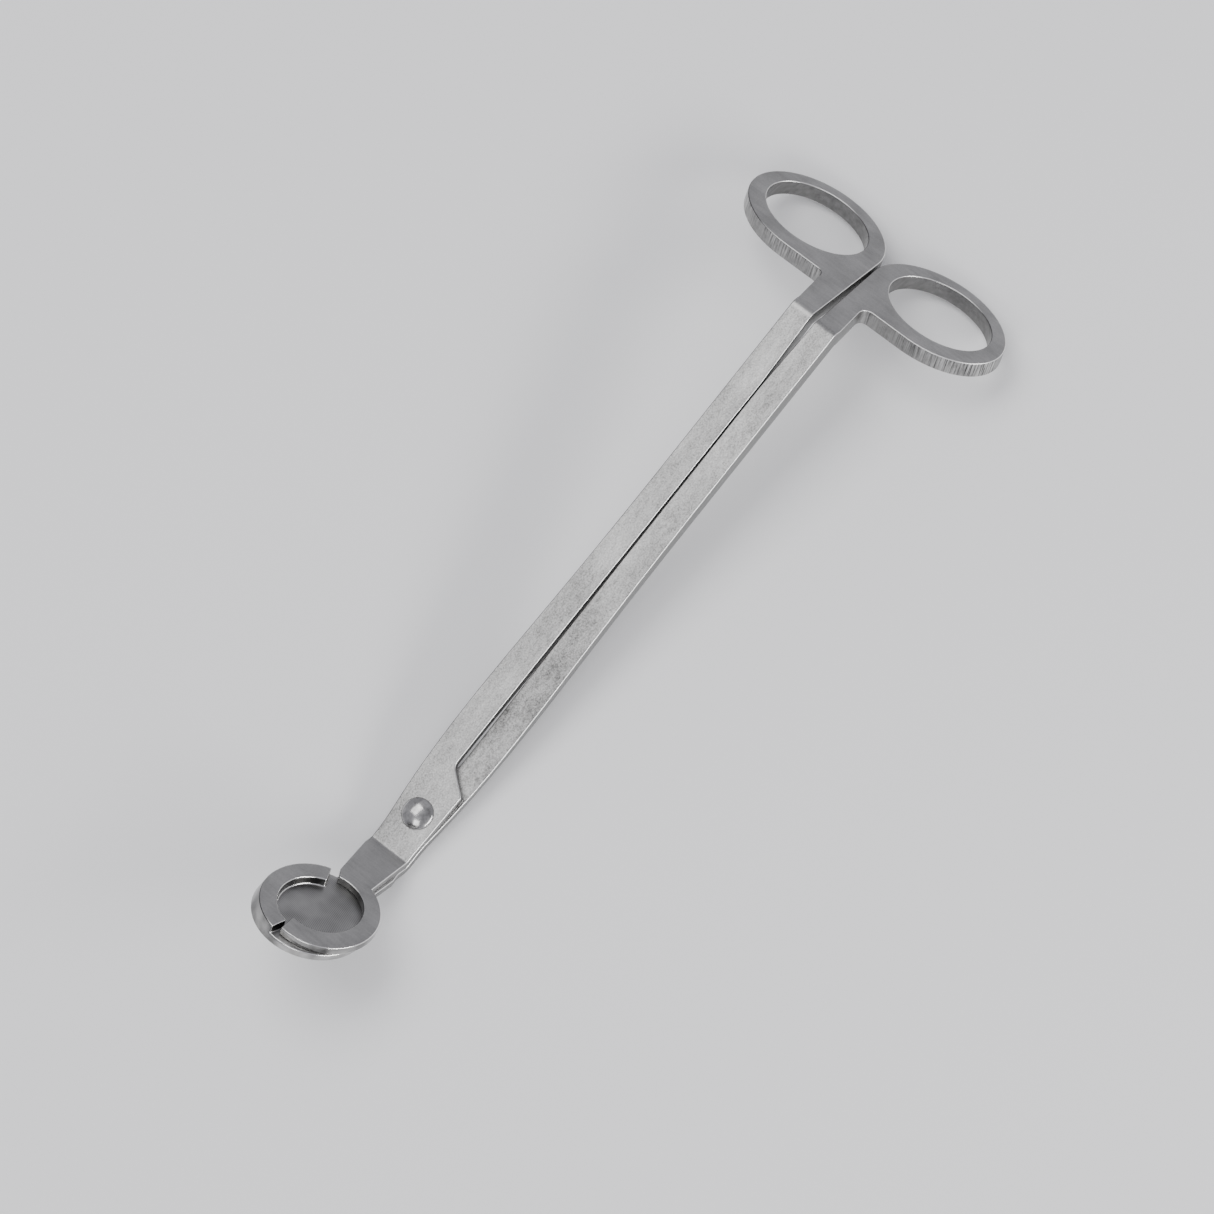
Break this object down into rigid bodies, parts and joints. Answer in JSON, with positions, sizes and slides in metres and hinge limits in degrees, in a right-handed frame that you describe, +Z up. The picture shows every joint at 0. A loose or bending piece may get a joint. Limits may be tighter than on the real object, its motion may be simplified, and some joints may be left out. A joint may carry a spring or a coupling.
{
  "type": "candle wick trimmer",
  "caption": "Scissor-action steel wick trimmer: two bent arms on a rivet, a hook blade that shears over a round rimmed tray, and finger loops angled the other way.",
  "frame": {"origin": "on the table the trimmer rests on, at the middle of its length and width", "axes": "+Z up from the table; +X from the pivot towards the finger loops; +Y towards the blade arm's finger loop. The arms rise from the pivot towards the loops by about 8.0 degrees."},
  "size_m": [0.185, 0.0606, 0.0224],
  "materials": {
    "satin_steel": "satin ground stainless steel with fine grain and small scratches",
    "polished_steel": "polished stainless steel"
  },
  "bodies": {
    "tray_side": {"tray_arm": "satin_steel", "pivot_rivet": "polished_steel"},
    "blade_side": {"blade_arm": "satin_steel"}
  },
  "joints": [
    {"name": "pivot", "type": "hinge", "parent": "tray_side", "child": "blade_side", "pos_m": [-0.05371, 0, 0.00475], "axis": [-0.1383, 0, 0.9904], "range_deg": [0, 38]}
  ]
}
